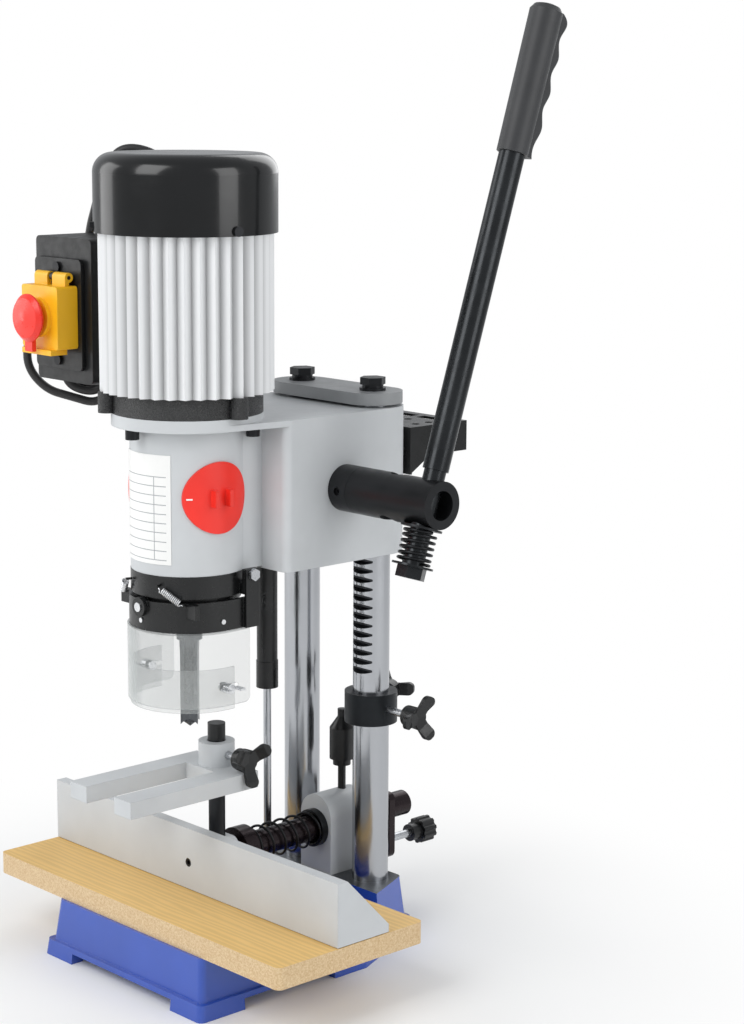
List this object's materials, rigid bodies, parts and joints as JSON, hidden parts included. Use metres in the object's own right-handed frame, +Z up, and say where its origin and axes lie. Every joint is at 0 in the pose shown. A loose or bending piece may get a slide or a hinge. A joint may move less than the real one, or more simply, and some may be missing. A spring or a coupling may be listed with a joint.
{
  "type": "benchtop mortiser",
  "caption": "Benchtop hollow-chisel mortiser: cast base with wooden table and fence, twin columns, motor head on a rack and lever, chuck guard and covered switch.",
  "frame": {"origin": "centre of the four bench bolt holes, on the bench under the base", "axes": "+Z up along the columns, -Y out of the machine's front towards the user, +X to the lever's side"},
  "size_m": [0.345, 0.331, 0.7108],
  "materials": {
    "blue_paint": "gloss",
    "grey_paint": "satin",
    "black_paint": "satin",
    "black_casting": "rough",
    "cast_aluminium": "satin",
    "bright_steel": "satin",
    "chromed_steel": "polished",
    "black_steel": "satin",
    "brown_steel": "satin",
    "spring_steel": "satin",
    "copper_winding": "satin",
    "laminate_wood": "satin",
    "red_plastic": "gloss",
    "yellow_plastic": "gloss",
    "green_plastic": "gloss",
    "black_plastic": "matte",
    "white_plate": "matte",
    "clear_plastic": "clear",
    "black_rubber": "matte",
    "cord_rubber": "matte"
  },
  "bodies": {
    "stand": {"base_casting": "blue_paint", "table_board": "laminate_wood", "left_column": "chromed_steel", "right_column": "chromed_steel", "tie_plate": "grey_paint", "stand_screws": "black_steel", "fence_block": "grey_paint", "strut_rod": "bright_steel"},
    "head": {"head_casting": "grey_paint", "strut_cylinder": "black_paint", "motor_base_ring": "black_casting", "head_screws": "bright_steel", "motor_housing": "cast_aluminium", "motor_bearings": "bright_steel", "stator": "copper_winding", "fan_cover": "black_paint", "chisel_bushing": "bright_steel", "chisel": "bright_steel", "rating_plate": "white_plate", "guard_collar": "black_plastic", "guard_springs": "spring_steel", "tool_holder": "black_paint", "switch_box": "black_plastic", "switch_plate": "black_plastic", "mains_hank": "cord_rubber", "mains_lead": "cord_rubber", "mains_plug": "black_plastic"},
    "spindle": {"motor_rotor": "bright_steel", "cooling_fan": "black_plastic", "chuck_body": "bright_steel", "auger_bit": "bright_steel"},
    "chuck_sleeve": {"chuck_sleeve": "bright_steel"},
    "pinion": {"pinion_shaft": "bright_steel", "hub_collar": "black_steel", "lever_hub": "black_steel"},
    "lever": {"lever_rod": "black_steel", "lever_grip": "black_rubber", "lever_bolt": "bright_steel", "lever_spring": "spring_steel"},
    "guard": {"guard_band": "black_plastic", "guard_shield": "clear_plastic", "guard_rivets": "bright_steel"},
    "visor": {"guard_visor": "clear_plastic", "visor_bolts": "bright_steel"},
    "right_door": {"right_door": "red_plastic"},
    "left_door": {"left_door": "red_plastic"},
    "switch_cover": {"switch_cover": "yellow_plastic"},
    "stop_button": {"stop_button": "red_plastic"},
    "start_button": {"start_button": "green_plastic"},
    "fence": {"fence": "grey_paint", "fence_rod": "bright_steel", "holddown_post": "bright_steel", "fence_spring": "spring_steel"},
    "adjust_screw": {"adjust_screw": "bright_steel"},
    "lock_knob": {"lock_knob": "black_plastic"},
    "holddown_fork": {"holddown_fork": "grey_paint"},
    "holddown_screw": {"holddown_screw": "bright_steel"},
    "stop_collar": {"stop_collar": "brown_steel"},
    "stop_screw_side": {"stop_screw_side": "bright_steel"},
    "stop_screw_rear": {"stop_screw_rear": "bright_steel"}
  },
  "joints": [
    {"name": "head_slide", "type": "slide", "parent": "stand", "child": "head", "axis": [0, 0, -1], "range_m": [0, 0.052], "stiffness_N_per_m": 800, "springref_m": -0.2},
    {"name": "lever_turn", "type": "hinge", "parent": "head", "child": "pinion", "pos_m": [0, 0.08168, 0.3615], "axis": [1, 0, 0], "range_deg": [0, 90]},
    {"name": "lever_lift", "type": "slide", "parent": "pinion", "child": "lever", "axis": [0, 0.315, 0.9491], "range_m": [0, 0.008], "stiffness_N_per_m": 900, "springref_m": -0.02, "deforming": ["lever_spring"]},
    {"name": "spindle_spin", "type": "hinge", "parent": "head", "child": "spindle", "pos_m": [0, -0.015, 0.4], "axis": [0, 0, 1], "continuous": true},
    {"name": "chuck_sleeve_turn", "type": "hinge", "parent": "spindle", "child": "chuck_sleeve", "pos_m": [0, -0.015, 0.36], "axis": [0, 0, 1], "continuous": true},
    {"name": "fence_travel", "type": "slide", "parent": "stand", "child": "fence", "axis": [0, 1, 0], "range_m": [0, 0.03], "deforming": ["fence_spring"]},
    {"name": "adjust_screw_turn", "type": "hinge", "parent": "fence", "child": "adjust_screw", "pos_m": [0, 0.045, 0.0528], "axis": [0, 1, 0], "continuous": true},
    {"name": "lock_knob_turn", "type": "hinge", "parent": "stand", "child": "lock_knob", "pos_m": [0, 0.137, 0.1], "axis": [0, 0, 1], "continuous": true},
    {"name": "holddown_slide", "type": "slide", "parent": "fence", "child": "holddown_fork", "axis": [0, 0, -1], "range_m": [0, 0.03]},
    {"name": "holddown_screw_turn", "type": "hinge", "parent": "holddown_fork", "child": "holddown_screw", "pos_m": [0, 0.01, 0.161], "axis": [1, 0, 0], "continuous": true},
    {"name": "stop_slide", "type": "slide", "parent": "stand", "child": "stop_collar", "axis": [0, 0, 1], "range_m": [-0.06, 0.05]},
    {"name": "stop_screw_side_turn", "type": "hinge", "parent": "stop_collar", "child": "stop_screw_side", "pos_m": [0.04, 0.13056, 0.183], "axis": [1, 0, 0], "continuous": true},
    {"name": "stop_screw_rear_turn", "type": "hinge", "parent": "stop_collar", "child": "stop_screw_rear", "pos_m": [0.03985, 0.13056, 0.183], "axis": [-0.5, 0.866, 0], "continuous": true},
    {"name": "right_door_pull", "type": "slide", "parent": "head", "child": "right_door", "axis": [0.9923, -0.1236, 0], "range_m": [0, 0.012]},
    {"name": "left_door_pull", "type": "slide", "parent": "head", "child": "left_door", "axis": [-0.9923, -0.1236, 0], "range_m": [0, 0.012]},
    {"name": "switch_cover_lift", "type": "hinge", "parent": "head", "child": "switch_cover", "pos_m": [-0.1, -0.059, 0.513], "axis": [-1, 0, 0], "range_deg": [0, 100]},
    {"name": "stop_button_press", "type": "slide", "parent": "switch_cover", "child": "stop_button", "axis": [0, 1, 0], "range_m": [0, 0.003], "stiffness_N_per_m": 1000},
    {"name": "start_button_press", "type": "slide", "parent": "head", "child": "start_button", "axis": [0, 1, 0], "range_m": [0, 0.003], "stiffness_N_per_m": 500},
    {"name": "guard_tilt", "type": "hinge", "parent": "head", "child": "guard", "pos_m": [0, 0.006, 0.3045], "axis": [1, 0, 0], "range_deg": [0, 12], "stiffness_Nm_per_rad": 1.2, "springref_deg": -5.73, "deforming": ["guard_springs"]},
    {"name": "visor_slide", "type": "slide", "parent": "guard", "child": "visor", "axis": [0, 1, 0], "range_m": [0, 0.008]}
  ],
  "couplings": [
    {"joint": "lever_turn", "follows": "head_slide", "rad_per_m": 26.936}
  ]
}
